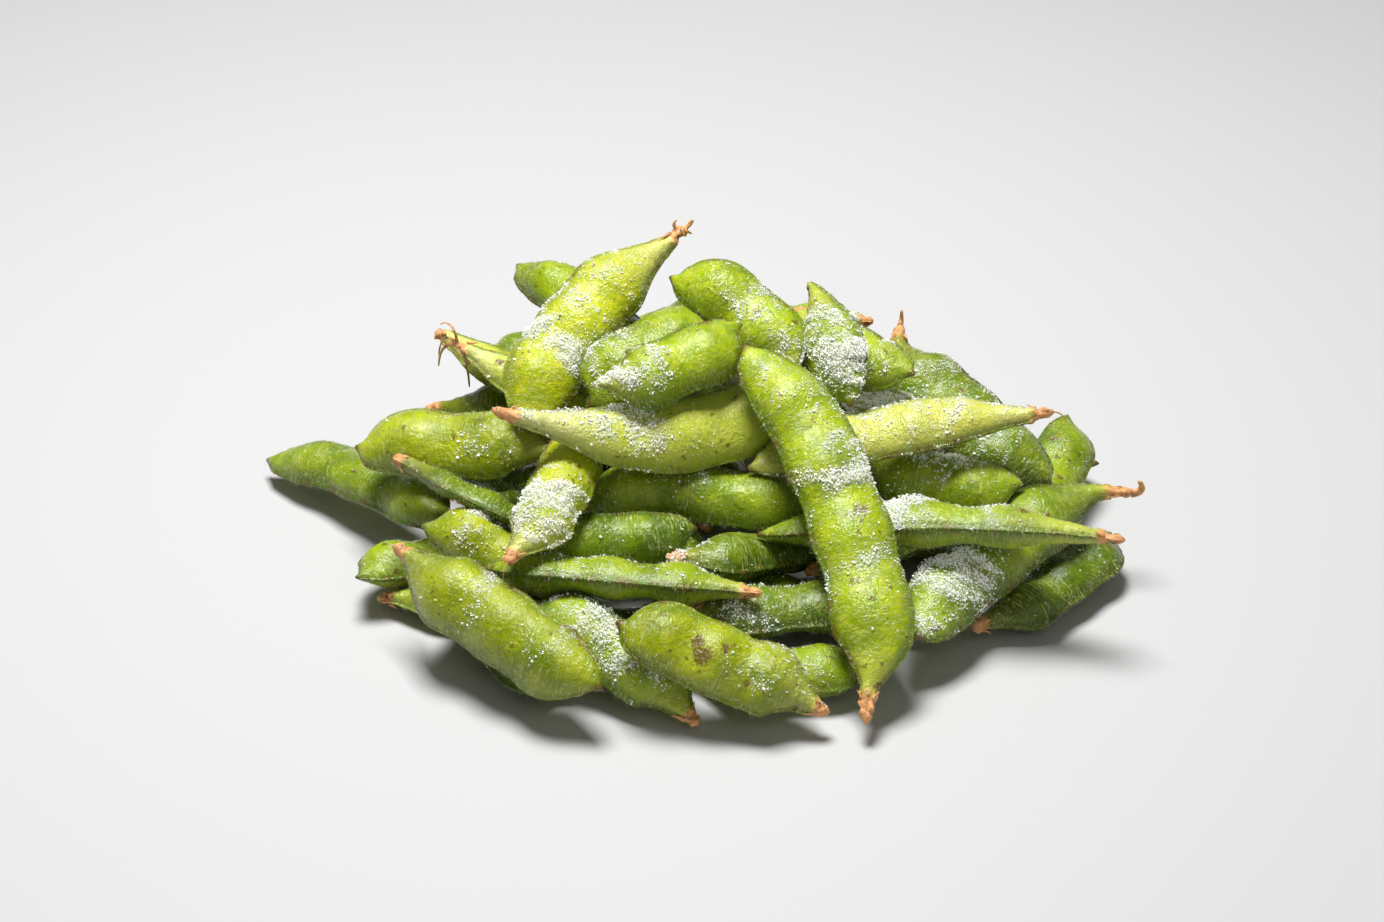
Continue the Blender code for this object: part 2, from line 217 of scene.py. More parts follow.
PODS = (
    # the layer on the table
    Pod("under_left", 54.2, slot="dark", hidden=True),
    Pod("under_middle", 56.0, bow=3, slot="dark", hidden=True),
    Pod("under_back", 54.5, bow=2, hidden=True, salt=((0.5, 6, 0.5),)),
    Pod("back_edge", 54.1, bow=-3, hidden=True, ripeness_and_painted_light=0.6, salt=((0.3, 6, 0.6),)),
    Pod("under_right", 48.2, slot="dark", hidden=True),
    Pod("back_right_edge", 43.9, bow=3, hidden=True, ripeness_and_painted_light=0.4, salt=((0.6, 6, 0.5),)),
    Pod("right_edge", 42.4, wide=12, thick=8, beans=2, slot="dark", hidden=True),
    Pod("under_front", 54.1, bow=2, slot="dark", hidden=True),
    Pod("right_low", 40.3, wide=12, slot="dark", ripeness_and_painted_light=0.3),
    Pod("right_upright", 33.1, wide=11, thick=7, beans=2, point=0.9, ripeness_and_painted_light=0.25,
        marks=((0.72, 60, 1.0), (0.60, 80, 0.7), (0.45, 100, 0.8))),
    Pod("left_low", 31.5, wide=11, beans=2, point=0.8, ripeness_and_painted_light=0.3),
    Pod("front_stub", 42.2, wide=11, thick=8, ripeness_and_painted_light=0.4),
    Pod("front_between", 36.0, slot="dark", salt=((0.3, 5, 0.4),)),
    Pod("front_shaded", 41.8, slot="dark", ripeness_and_painted_light=0.4, salt=((0.7, 5, 0.3),)),
    Pod("front_low", 32.1, wide=12, beans=2, ripeness_and_painted_light=0.4, salt=((0.5, 8, 0.2),)),
    Pod("front_dark", 32.4, wide=12, beans=2, slot="dark", ripeness_and_painted_light=0.5, salt=((0.35, 6, 0.5),)),
    Pod("front_left", 49.6, thick=10, bow=2, slot="yellow", ripeness_and_painted_light=0.1, stem="knob",
        salt=((0.45, 6, 0.35), (0.8, 6, 0.3)), marks=((0.3, 100, 0.9),)),
    Pod("front_salted", 37.5, wide=12, beans=2, ripeness_and_painted_light=0.5, salt=((0.6, 10, 0.75), (0.3, 6, 0.5)),
        marks=((0.4, 70, 0.8), (0.55, 110, 0.7))),
    Pod("front_spotted", 39.0, bow=2, point=0.5, slot="yellow", ripeness_and_painted_light=0.25, salt=((0.3, 8, 0.35),),
        marks=((0.62, 75, 2.2), (0.66, 95, 1.5), (0.54, 100, 1.0), (0.40, 60, 0.8))),
    # the second layer
    Pod("inner_left", 51.0, slot="dark", hidden=True),
    Pod("inner_middle", 60.0, bow=3, slot="dark", hidden=True),
    Pod("inner_right", 56.0, bow=-3, slot="dark", hidden=True),
    Pod("inner_far_right", 44.0, beans=2, hidden=True),
    Pod("inner_back_left", 44.4, slot="dark", hidden=True),
    Pod("olive_right", 45.2, wide=14, arch=3, hook=4, point=0.5, slot="dark", ripeness_and_painted_light=0.75, stem="hook",
        salt=((0.7, 8, 0.5), (0.35, 5, 0.3)), marks=((0.5, 80, 0.8),)),
    Pod("hooked_right", 55.8, bow=-1, arch=-4, hook=5, point=0.5, ripeness_and_painted_light=0.25, stem="hook",
        salt=((0.72, 7, 0.9), (0.93, 5, 0.6), (0.5, 4, 0.35)), marks=((0.32, 80, 1.0), (0.96, 60, 1.2))),
    Pod("far_left", 57.4, wide=11, bow=-3, ripeness_and_painted_light=0.3, marks=((0.05, 90, 2.0),)),
    Pod("right_pale", 24.6, wide=11, beans=2, slot="pale", salt=((0.5, 10, 0.8),)),
    Pod("salted_ridge", 65.1, wide=12, arch=2, neck=0.42, ripeness_and_painted_light=0.5,
        salt=((0.62, 6, 1.0), (0.75, 4, 0.9), (0.4, 6, 0.4)), marks=((0.28, 80, 1.2), (0.22, 100, 0.8))),
    Pod("right_bean", 30.7, wide=12, beans=2, point=0.7, ripeness_and_painted_light=0.6, salt=((0.6, 7, 0.55),)),
    Pod("brown_tip", 28.8, wide=11, beans=2, slot="dark", hidden=True),
    Pod("pink_stem", 36.5, wide=11, beans=2, slot="dark", hidden=True, salt=((0.1, 5, 0.6),)),
    Pod("dark_stub", 37.3, wide=11, beans=2, slot="dark", hidden=True),
    Pod("green_round", 31.2, wide=10, beans=2, ripeness_and_painted_light=0.0),
    Pod("front_ridge", 48.6, wide=12, thick=8, ripeness_and_painted_light=0.4, stem="knob", salt=((0.3, 7, 0.4), (0.7, 9, 0.35))),
    Pod("left_salted", 28.0, wide=10, beans=2, point=0.8, slot="yellow", ripeness_and_painted_light=0.3, salt=((0.65, 6, 0.7),)),
    Pod("left_edge", 30.7, wide=11, thick=6, slot="dark", ripeness_and_painted_light=0.5),
    Pod("long_neck", 36.4, wide=10, thick=5, neck=0.4, slot="dark", ripeness_and_painted_light=0.5),
    Pod("two_bean", 40.9, beans=2, bow=2, point=0.5, slot="yellow", ripeness_and_painted_light=0.25, salt=((0.35, 5, 0.3),),
        marks=((0.52, 95, 0.9), (0.56, 85, 0.8))),
    # the third layer
    Pod("inner_back", 58.5, bow=3, slot="dark", hidden=True),
    Pod("inner_front", 52.2, slot="dark", hidden=True),
    Pod("mid_band", 49.3, wide=11, wave=2, ripeness_and_painted_light=0.45, salt=((0.6, 5, 0.3),), marks=((0.5, 110, 0.9),)),
    Pod("right_long", 56.1, wide=11, thick=7, beans=4, neck=0.4, slot="yellow", ripeness_and_painted_light=1.0, frost=0.6,
        stem="thread", salt=((0.35, 14, 0.5), (0.7, 10, 0.4), (0.5, 30, 0.35))),
    Pod("olive_back", 29.1, wide=11, beans=2, slot="dark", ripeness_and_painted_light=0.9, marks=((0.5, 80, 2.0),)),
    Pod("stub_low", 36.4, wide=9, thick=6, neck=0.5, slot="pale", ripeness_and_painted_light=0.8, stem="prongs",
        marks=((0.3, 90, 1.5),)),
    Pod("stub_high", 34.4, wide=9, thick=6, neck=0.5, slot="yellow", ripeness_and_painted_light=0.9),
    Pod("salted_scrap", 23.5, wide=10, beans=1, slot="pale", salt=((0.5, 9, 1.0),)),
    # the top
    Pod("inner_top", 42.2, slot="dark", hidden=True),
    Pod("back_thin", 39.2, wide=9, thick=6, ripeness_and_painted_light=0.4, marks=((0.06, 90, 1.5),)),
    Pod("back_stub", 32.6, wide=11, beans=2, slot="yellow", ripeness_and_painted_light=0.6, stem="knob"),
    Pod("right_back_green", 32.8, wide=11, ripeness_and_painted_light=0.75, frost=0.15, salt=((0.4, 6, 0.7), (0.8, 5, 0.6))),
    Pod("back_up", 50.0, wide=11, point=0.5, ripeness_and_painted_light=0.35),
    Pod("hanging_salted", 37.3, wide=11, slot="yellow", ripeness_and_painted_light=0.6, stem="thread",
        salt=((0.45, 6, 1.0), (0.25, 5, 0.8))),
    Pod("pale_stem", 60.8, wide=14, bow=-5, neck=0.5, slot="pale", ripeness_and_painted_light=0.95, frost=0.15,
        salt=((0.22, 9, 0.6), (0.42, 8, 0.75), (0.88, 5, 0.6)), marks=((0.32, 60, 1.0), (0.4, 75, 0.8))),
    Pod("upper_arched", 30.4, wide=14, thick=10, beans=2, arch=3, point=0.5, ripeness_and_painted_light=0.5,
        salt=((0.75, 6, 0.5),)),
    Pod("upper_left", 30.8, wide=12, beans=2, point=0.8, ripeness_and_painted_light=0.7, stem="green",
        salt=((0.10, 8, 1.0), (0.4, 5, 0.6)), marks=((0.99, 90, 1.0),)),
    Pod("top_right", 33.0, wide=12, beans=2, bow=-2, ripeness_and_painted_light=0.85, salt=((0.15, 6, 0.9), (0.5, 6, 0.5)),
        marks=((0.45, 100, 1.0),)),
    Pod("upper_tip", 27.4, wide=12, beans=1, bow=3, neck=0.5, ripeness_and_painted_light=0.5, stem="green",
        salt=((0.45, 8, 0.9), (0.8, 6, 1.0))),
    Pod("crown", 52.1, wide=14, thick=10, bow=-1, neck=0.4, point=0.5, slot="yellow", ripeness_and_painted_light=0.85,
        stem="frayed", salt=((0.68, 5, 1.0), (0.5, 7, 0.55), (0.3, 5, 0.35)), marks=((0.66, 60, 0.8),)),
    Pod("front_long", 75.4, wide=14, beans=4, bow=-5, neck=0.22, point=0.5, ripeness_and_painted_light=0.8,
        salt=((0.62, 5, 0.95), (0.82, 6, 0.4), (0.94, 4, 0.35), (0.36, 4, 0.5), (0.48, 4, 0.3)),
        marks=((0.50, 110, 1.6), (0.33, 70, 1.2))),
)


# ---------------------------------------------------------------------------- the shape of a pod

def smooth(value, start, end):
    """0 before start, 1 after end, and a smooth step between them."""
    s = np.clip((value - start) / (end - start), 0.0, 1.0)
    return s * s * (3.0 - 2.0 * s)


def bell(value, width):
    """1 at nothing, falling smoothly to 0 on both sides."""
    return np.exp(-(value / width) ** 2)


def unit(vectors):
    """The vectors, each at a length of 1."""
    return vectors / np.maximum(np.linalg.norm(vectors, axis=-1, keepdims=True), TINY)


def waist(pod, along):
    """0 over a bean and 1 halfway between two."""
    pitch = (LAST_BEAN - FIRST_BEAN) / pod.beans
    return 0.5 + 0.5 * np.cos(TURN * (along - FIRST_BEAN) / pitch)


def middle(pod, along):
    """The middle line; X runs from stem to tip and Y points to the straighter seam."""
    swell = 4.0 * along * (1.0 - along)
    lean = NECK_LEAN * (1.0 - smooth(along, 0.0, pod.neck)) + TIP_LEAN * smooth(along, TIP_START, 1.0)
    curl = pod.hook * np.maximum(0.0, 1.0 - along / HOOK_END) ** 2
    side = pod.bow * swell + pod.wave * np.sin(TURN * along) + pod.wide * lean + curl
    return np.stack((pod.length * along, side, pod.arch * swell), axis=-1)


def section(pod, along):
    """Half width and half thickness."""
    neck = smooth(along, STUB_END, pod.neck)
    past = np.maximum(0.0, (along - TIP_START) / (1.0 - TIP_START))
    cap = np.maximum(0.0, 1.0 - past ** 2) ** pod.point
    end = np.minimum(1.0, np.maximum(along, 0.0) / CUT_END) ** 0.5
    half_wide = STUB + (0.5 * pod.wide * (1.0 - WAIST_WIDTH * waist(pod, along)) - STUB) * neck
    half_thick = STUB + (0.5 * pod.thick * (1.0 - WAIST_THICKNESS * waist(pod, along)) - STUB) * neck
    return half_wide * cap * end, half_thick * cap * end


def directions(pod, along):
    """Unit vectors ahead, to the straighter seam, and up out of the flat side."""
    ahead = unit(middle(pod, along + STRIDE) - middle(pod, along - STRIDE))
    side = unit(np.stack((-ahead[:, 1], ahead[:, 0], np.zeros(len(ahead))), axis=-1))
    return ahead, side, np.cross(ahead, side)


def from_lowest(face):
    """A face's corners in the same order round it, from the lowest one."""
    start = face.index(min(face))
    return face[start:] + face[:start]


@functools.cache
def layout(around, lengthwise):
    """How a skin's corners lie: how far along, the angle round the pod, and the faces between them."""
    bm = bmesh.new()
    bmesh.ops.create_uvsphere(bm, u_segments=around, v_segments=lengthwise, radius=1.0)
    corners = np.array([vert.co for vert in bm.verts])
    # The sphere's faces come in another order each time, and grains and hairs are placed face by face.
    faces = sorted(from_lowest([vert.index for vert in face.verts]) for face in bm.faces)
    bm.free()
    return 0.5 * (1.0 + corners[:, 2]), np.arctan2(corners[:, 1], corners[:, 0]), faces


def plain_skin(pod, along, angle):
    """The points of the solid's own skin."""
    half_wide, half_thick = section(pod, along)
    _, side, up = directions(pod, along)
    across = side * (half_wide * np.cos(angle))[:, None] + up * (half_thick * np.sin(angle))[:, None]
    return middle(pod, along) + across


def lumps(points, size, seed):
    """A smooth field of lumps about size across, mostly between -1 and 1."""
    random = np.random.default_rng(seed)
    waves = random.normal(size=(SKIN_WAVES, 3)) * LUMP_PITCH / size
    return np.sin(points @ waves.T + random.uniform(0.0, TURN, SKIN_WAVES)).sum(axis=1) / SKIN_WAVES ** 0.5


# ---------------------------------------------------------------------------- where a pod lies

def fitted(own, target):
    """The turn and the shift that bring points onto their targets with the least error."""
    own_middle, target_middle = own.mean(axis=0), target.mean(axis=0)
    left, _, right = np.linalg.svd((own - own_middle).T @ (target - target_middle))
    keep = np.diag((1.0, 1.0, np.sign(np.linalg.det(left @ right))))
    turn = (left @ keep @ right).T
    return turn, target_middle - turn @ own_middle


def long_axes(points):
    """The axes along which the points spread least to most, as columns."""
    return np.linalg.eigh(np.cov((points - points.mean(axis=0)).T))[1]


def place_of(pod):
    """The turn and the shift that lay a pod's own points on its solid in the frame."""
    along, angle, _ = layout(SIDES, BANDS)
    own = plain_skin(pod, along, angle)
    solid = np.array([v.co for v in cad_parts[pod.name].data.vertices]) / MM
    solid = np.unique(np.round(solid, 3), axis=0)
    tree = KDTree(len(solid))
    for index, point in enumerate(solid):
        tree.insert(point, index)
    tree.balance()
    own_axes, solid_axes = long_axes(own), long_axes(solid)
    best = None
    for one, two in itertools.product((1.0, -1.0), repeat=2):
        three = one * two * np.sign(np.linalg.det(own_axes) * np.linalg.det(solid_axes))
        turn = solid_axes @ np.diag((one, two, three)) @ own_axes.T
        shift = solid.mean(axis=0) - turn @ own.mean(axis=0)
        for _ in range(FIT_ROUNDS):
            near = np.array([tree.find(point)[0] for point in own @ turn.T + shift])
            turn, shift = fitted(own, near)
        error = np.linalg.norm(own @ turn.T + shift - near, axis=1).max()
        if best is None or error < best[0]:
            best = (error, turn, shift)
    if best[0] > FIT_ERROR:
        raise RuntimeError(f"{pod.name} doesn't fit its solid: a corner is {best[0]:.2f} mm off")
    return best[1], best[2]


# ---------------------------------------------------------------------------- a finished pod

def on_stalk(along):
    """1 on the stalk and 0 on the pod."""
    return 1.0 - smooth(along, STALK_START, STALK_STOP)


def near_seams(angle, width):
    """1 on the straighter seam, less on the other one and 0 away from both."""
    return bell(angle, width) + BACK_SEAM * bell(np.abs(angle) - math.pi, width)


def slimming(pod, along):
    """The share of its width that a pod keeps, which is less on the stalk."""
    slim = 1.0 - STALK_SLIM * on_stalk(along)
    if STEMS[pod.stem].green:
        slim = slim * (GREEN_SLIM + (1.0 - GREEN_SLIM) * smooth(along, 0.0, 3.0 * STUB_END))
    return slim


def skin_lift(pod, along, angle, points, size, seed):
    """How far the seams, the calyx ring, the lumps and the creases stand off the solid."""
    stalk = on_stalk(along)
    body = smooth(along, 0.0, 0.5 * STUB_END) * (1.0 - smooth(along, TIP_PLAIN, 1.0))
    bead = near_seams(angle, SEAM_WIDTH) - GROOVE_DEPTH * bell(angle, GROOVE_WIDTH)
    seams = size.seam_rise * bead * body * (1.0 - 0.5 * stalk)
    ring = CALYX_RISE * bell((along - STUB_END) * pod.length, CALYX_WIDTH)
    skin = size.lumps * (lumps(points, LUMP, seed) + SMALL_SHARE * lumps(points, SMALL_LUMP, seed + 1))
    creases = size.creases * lumps(points * CREASE_STRETCH, CREASE, seed + 2) * waist(pod, along)
    ragged = RAGGED * lumps(points, RAGGED_LUMP, seed + 3) * stalk
    return seams + (ring + skin + creases * (1.0 - stalk) + ragged) * body


def fine_skin(pod, along, angle, size, seed):
    """The points of the skin, with its seams, calyx ring, beak and lumps."""
    half_wide, half_thick = section(pod, along)
    ahead, side, up = directions(pod, along)
    slim = slimming(pod, along)
    rise = np.sign(np.sin(angle)) * np.abs(np.sin(angle)) ** size.lens
    across = side * (half_wide * np.cos(angle) * slim)[:, None] + up * (half_thick * rise * slim)[:, None]
    sideways = side * (np.cos(angle) * half_thick + TINY)[:, None]
    out = unit(sideways + up * (np.sin(angle) * half_wide)[:, None])
    points = middle(pod, along) + across
    lift = skin_lift(pod, along, angle, points, size, seed)
    near_middle = bell(np.linalg.norm(across, axis=1), BUD_RADIUS)
    beak = size.beak * near_middle * smooth(along, BEAK_START, TIP_PLAIN)
    return points + out * lift[:, None] + ahead * beak[:, None]


def tube(path, radii, flat):
    """A closed tapered tube along a path of points: its corners and its faces."""
    path = np.array(path)
    ahead = unit(np.gradient(path, axis=0))
    first = unit(np.cross(ahead, flat))
    second = np.cross(first, ahead)
    turns = TURN * np.arange(TUBE_SIDES) / TUBE_SIDES
    corners = [path[0]]
    for point, one, two, radius in zip(path, first, second, radii):
        for angle in turns:
            corners.append(point + radius * (one * math.cos(angle) + TUBE_FLATNESS * two * math.sin(angle)))
    corners.append(path[-1] + ahead[-1] * radii[-1])
    rings = [range(1 + ring * TUBE_SIDES, 1 + (ring + 1) * TUBE_SIDES) for ring in range(len(path))]
    pairs = [(side, (side + 1) % TUBE_SIDES) for side in range(TUBE_SIDES)]
    faces = [(0, rings[0][after], rings[0][side]) for side, after in pairs]
    for low, high in zip(rings, rings[1:]):
        faces += [(low[side], low[after], high[after], high[side]) for side, after in pairs]
    faces += [(rings[-1][side], rings[-1][after], len(corners) - 1) for side, after in pairs]
    return corners, faces


def sepals(pod, stem, random):
    """The leaves of the calyx, narrow and curling off the neck."""
    tubes = []
    for index in range(stem.sepals):
        angle = TURN * (index + random.uniform(-0.25, 0.25)) / stem.sepals
        length = stem.sepal * random.uniform(0.7, 1.2)
        along = 0.8 * STUB_END + np.linspace(0.0, length, len(SEPAL_WIDTHS)) / pod.length
        half_wide, half_thick = section(pod, along)
        _, side, up = directions(pod, along)
        outward = side * math.cos(angle) + up * math.sin(angle)
        slim = 1.0 - STALK_SLIM * on_stalk(along)
        reach = np.hypot(half_wide * math.cos(angle), half_thick * math.sin(angle)) * slim
        lift = 0.25 + random.uniform(0.2, 0.9) * np.linspace(0.0, 1.0, len(SEPAL_WIDTHS)) ** 2
        path = middle(pod, along) + outward * (reach + lift)[:, None]
        tubes.append(tube(path, SEPAL_WIDTHS, outward))
    return tubes


def threads(pod, stem, turn, random):
    """Dried threads, or one thick hook, that curl from the end of the stalk."""
    tubes = []
    ahead, _, _ = directions(pod, np.array([0.5 * CUT_END]))
    down = turn.T @ (0.0, 0.0, -1.0)
    spread = 0.0 if stem.threads == 1 else THREAD_SPREAD
    for _ in range(stem.threads):
        heading = unit(-ahead[0] + spread * random.normal(size=3))
        axis = unit(np.cross(heading, -down) + spread * random.normal(size=3))
        length = stem.length * random.uniform(0.75, 1.1)
        path = [middle(pod, np.array([0.6 * CUT_END]))[0]]
        for _ in range(THREAD_STEPS - 1):
            path.append(path[-1] + heading * length / THREAD_STEPS)
            bend = stem.curl * np.cross(axis, heading) * 4.0 / THREAD_STEPS
            heading = unit(heading + bend + stem.droop * down)
        taper = np.linspace(1.0, 0.35, THREAD_STEPS)
        radii = stem.thick * taper * random.uniform(0.85, 1.15, THREAD_STEPS)
        tubes.append(tube(path, radii, axis))
    return tubes


def lay_uv(mesh, pod, along, angle):
    """Unrolls the skin: U is the way round and V the way along, both in metres."""
    layer = mesh.uv_layers.new(name="unrolled")
    corner = np.empty(len(mesh.loops), np.int32)
    mesh.loops.foreach_get("vertex_index", corner)
    starts = np.empty(len(mesh.polygons), np.int32)
    mesh.polygons.foreach_get("loop_start", starts)
    sizes = np.empty(len(mesh.polygons), np.int32)
    mesh.polygons.foreach_get("loop_total", sizes)
    bearing = angle[corner]
    wraps = np.maximum.reduceat(bearing, starts) - np.minimum.reduceat(bearing, starts) > math.pi
    bearing = np.where(np.repeat(wraps, sizes) & (bearing < 0.0), bearing + TURN, bearing)
    radius = 0.25 * (pod.wide + pod.thick) * MM
    unrolled = np.stack((bearing * radius, along[corner] * pod.length * MM), axis=-1)
    layer.data.foreach_set("uv", unrolled.astype(np.float32).ravel())


def salt_on(pod, along, up_facing, points, seed):
    """How much salt lies on each corner, from 0 to 1."""
    patchy = 0.5 + 0.5 * lumps(points, PATCH, seed + 5)
    grainy = 0.5 + 0.5 * lumps(points, GRAINY, seed + 6)
    wander = 0.45 * lumps(points, HEAP_EDGE, seed + 7)
    amount = 0.001 + 0.018 * smooth(patchy * grainy, 0.25, 1.0)
    for place, spread, thick in pod.salt:
        heap = bell((along - place) * pod.length + spread * wander, 0.85 * spread)
        heap *= 0.05 + 0.95 * smooth(0.5 * patchy + 0.8 * grainy + 0.8 * thick * heap, 1.0, 1.4)
        amount = np.maximum(amount, thick * heap)
    return amount * smooth(up_facing, SALT_LOW, SALT_HIGH)


def marks_on(pod, along, angle):
    """How brown the skin is at each corner, from 0 to 1."""
    shade = np.zeros(len(along))
    radius = 0.25 * (pod.wide + pod.thick)
    for place, bearing, size in pod.marks:
        aside = (angle - math.radians(bearing) + math.pi) % TURN - math.pi
        shade = np.maximum(shade, bell(np.hypot((along - place) * pod.length, aside * radius), size))
    return shade


def pod_shape(pod, along, angle, faces, seed, size):
    """The corners and faces of a skin and of the loose bits at its stem, lying where the solid lies."""
    random = np.random.default_rng(seed)
    turn, shift = place_of(pod)
    stem = STEMS[pod.stem]
    parts = [fine_skin(pod, along, angle, size, seed)]
    faces = list(faces)
    for tube_corners, tube_faces in sepals(pod, stem, random) + threads(pod, stem, turn, random):
        start = sum(len(part) for part in parts)
        faces += [[start + index for index in face] for face in tube_faces]
        parts.append(np.array(tube_corners))
    corners = np.concatenate(parts) @ turn.T + shift
    corners[:, 2] = np.maximum(corners[:, 2], CAD_BOX[0].z / MM)
    return corners, faces


def up_facing(mesh):
    """How far up each corner faces, from -1 to 1."""
    normals = np.empty(len(mesh.vertices) * 3, np.float32)
    mesh.vertex_normals.foreach_get("vector", normals)
    return normals.reshape(-1, 3)[:, 2]


def store_looks(mesh, pod, along, angle, corners, seed):
    """Stores what the material, the salt and the hairs read at each corner of a pod."""
    loose = len(corners) - len(along)
    dried = 0.0 if STEMS[pod.stem].green else 1.0
    stub = dried * (1.0 - smooth(along, 0.75 * STUB_END, 1.3 * STUB_END))
    stub = np.concatenate((stub, np.ones(loose)))
    along = np.concatenate((along, np.full(loose, 0.5 * STUB_END)))
    angle = np.concatenate((angle, np.zeros(loose)))
    seam = near_seams(angle, SEAM_DARK_AND_SHADE)
    neck = min(1.0, GREEN_NECK + pod.ripeness_and_painted_light) * (1.0 - smooth(along, 0.2 * pod.neck, 0.95 * pod.neck))
    salt = salt_on(pod, along, up_facing(mesh), corners, seed)
    salt[len(corners) - loose:] *= STUB_SALT
    skin_fuzz = SIDE_FUZZ + (1.0 - SIDE_FUZZ) * np.minimum(seam, 1.0)
    clear = smooth(corners[:, 2], HAIRLESS, 2.0 * HAIRLESS)
    looks = {
        "along": along,
        "seam": seam * (1.0 - stub),
        "stub": stub,
        "mark": marks_on(pod, along, angle) * (1.0 - stub),
        "pale": np.maximum(neck, pod.frost),
        "ripeness_and_painted_light": np.full(len(corners), pod.ripeness_and_painted_light),
        "salt": salt,
        "fuzz": clear * np.where(stub > 0.5, STUB_FUZZ, skin_fuzz),
    }
    for name, values in looks.items():
        mesh.attributes.new(name, "FLOAT", "POINT").data.foreach_set("value", values.astype(np.float32))
    lay_uv(mesh, pod, along, angle)


def make_pod(pod, seed, size):
    """One pod as a finished mesh."""
    fine = (size.hidden_around, size.hidden_lengthwise) if pod.hidden else (size.around, size.lengthwise)
    along, bearing, faces = layout(*fine)
    angle = bearing - BUNCHING * np.sin(2.0 * bearing)
    corners, faces = pod_shape(pod, along, angle, faces, seed, size)
    mesh = bpy.data.meshes.new(pod.name + "_pod")
    mesh.from_pydata(corners * MM, [], faces)
    mesh.shade_smooth()
    store_looks(mesh, pod, along, angle, corners, seed)
    return mesh


# ---------------------------------------------------------------------------- node trees

def add(tree, kind, inputs=(), **settings):
    """A node of a tree. Each of its inputs is linked to a socket or set to a value."""
    made = tree.nodes.new(kind)
    for name, value in settings.items():
        setattr(made, name, value)
    for name, value in dict(inputs).items():
        if isinstance(value, bpy.types.NodeSocket):
            tree.links.new(value, made.inputs[name])
        else:
            made.inputs[name].default_value = value
    return made


def math_of(tree, operation, *values):
    """One sum of two or three numbers or sockets."""
    return add(tree, "ShaderNodeMath", enumerate(values), operation=operation).outputs[0]


def mixed(tree, share, one, two):
    """A colour between two."""
    node = add(tree, "ShaderNodeMix", {"Factor": share}, data_type="RGBA", clamp_factor=True)
    for socket, value in ((node.inputs[6], one), (node.inputs[7], two)):
        if isinstance(value, bpy.types.NodeSocket):
            tree.links.new(value, socket)
        else:
            socket.default_value = value
    return node.outputs[2]


def stepped(tree, value, low, high):
    """0 at low and 1 at high, with a smooth step between them."""
    inputs = {"Value": value, "From Min": low, "From Max": high}
    return add(tree, "ShaderNodeMapRange", inputs, interpolation_type="SMOOTHSTEP").outputs[0]


def noise(tree, vector, scale, detail=3.0, roughness=0.55, distortion=0.0):
    """A field of noise, about 0.5 on the whole."""
    inputs = {"Vector": vector, "Scale": scale, "Detail": detail, "Roughness": roughness,
              "Distortion": distortion}
    return add(tree, "ShaderNodeTexNoise", inputs, noise_dimensions="3D").outputs["Fac"]


def stored(tree, name):
    """A number that the mesh holds for each corner."""
    return add(tree, "ShaderNodeAttribute", attribute_type="GEOMETRY", attribute_name=name).outputs["Fac"]


def laid_on(tree, colour, top, mask, share):
    """A colour with a share of another on top of it, where a mask is high."""
    return mixed(tree, math_of(tree, "MULTIPLY", mask, share), colour, top)


def skin_sockets(tree):
    """The colours that the skin's group takes, and what it puts out."""
    for name in SLOT_COLOURS + SHARED_COLOURS:
        tree.interface.new_socket(name, in_out="INPUT", socket_type="NodeSocketColor")
    tree.interface.new_socket("Color", in_out="OUTPUT", socket_type="NodeSocketColor")
    for name in ("Roughness", "Height"):
        tree.interface.new_socket(name, in_out="OUTPUT", socket_type="NodeSocketFloat")


def hair_streaks_and_glints(tree, place):
    """Where light hairs are pressed to the skin, in patches; in the colour these pale streaks are also
    painted glints, the wet skin's sheen broken into streaks.
    """
    unrolled = add(tree, "ShaderNodeUVMap", uv_map="unrolled").outputs["UV"]
    stretched = add(tree, "ShaderNodeMapping", {"Vector": unrolled, "Scale": STREAKS}).outputs[0]
    streaks = stepped(tree, noise(tree, stretched, 1.0, 3.0, 0.6, 0.6), 0.52, 0.60)
    return math_of(tree, "MULTIPLY", streaks, stepped(tree, noise(tree, place, PALE_PATCHES), 0.42, 0.54))


def greens(tree, given, on, broad, cloudy, fine):
    """The greens of a skin: deep and bright, yellower clouds, the paler neck, and deep spots."""
    # The tone follows ripeness, which is partly painted light: darker on pods in shade, brighter on lit ones.
    tone = math_of(tree, "MULTIPLY_ADD", on["ripeness_and_painted_light"], 0.8, math_of(tree, "MULTIPLY_ADD", broad, 2.4, -0.95))
    colour = mixed(tree, tone, given["Deep"], given["Bright"])
    ready = math_of(tree, "ADD", on["ripeness_and_painted_light"], 0.1)
    yellowing = math_of(tree, "MULTIPLY", stepped(tree, cloudy, 0.44, 0.64), ready)
    colour = laid_on(tree, colour, given["Yellow"], yellowing, 0.55)
    colour = laid_on(tree, colour, given["Neck"], on["pale"], 0.85)
    return laid_on(tree, colour, given["Deep"], stepped(tree, fine, 0.50, 0.36), 0.14)


def browned(tree, given, on, colour, place, cloudy, fine):
    """The skin with its specks, its worn marks and its dried tip."""
    specks = stepped(tree, noise(tree, place, SPECKLED, 2.0), 0.67, 0.71)
    colour = laid_on(tree, colour, given["Scar"], specks, 0.7)
    ragged = math_of(tree, "ADD", cloudy, math_of(tree, "MULTIPLY", fine, 1.5))
    worn = stepped(tree, math_of(tree, "ADD", on["mark"], ragged), 1.72, 1.95)
    colour = laid_on(tree, colour, given["Scar"], worn, 0.85)
    return mixed(tree, stepped(tree, on["along"], 0.984, 1.0), colour, given["Scar"])


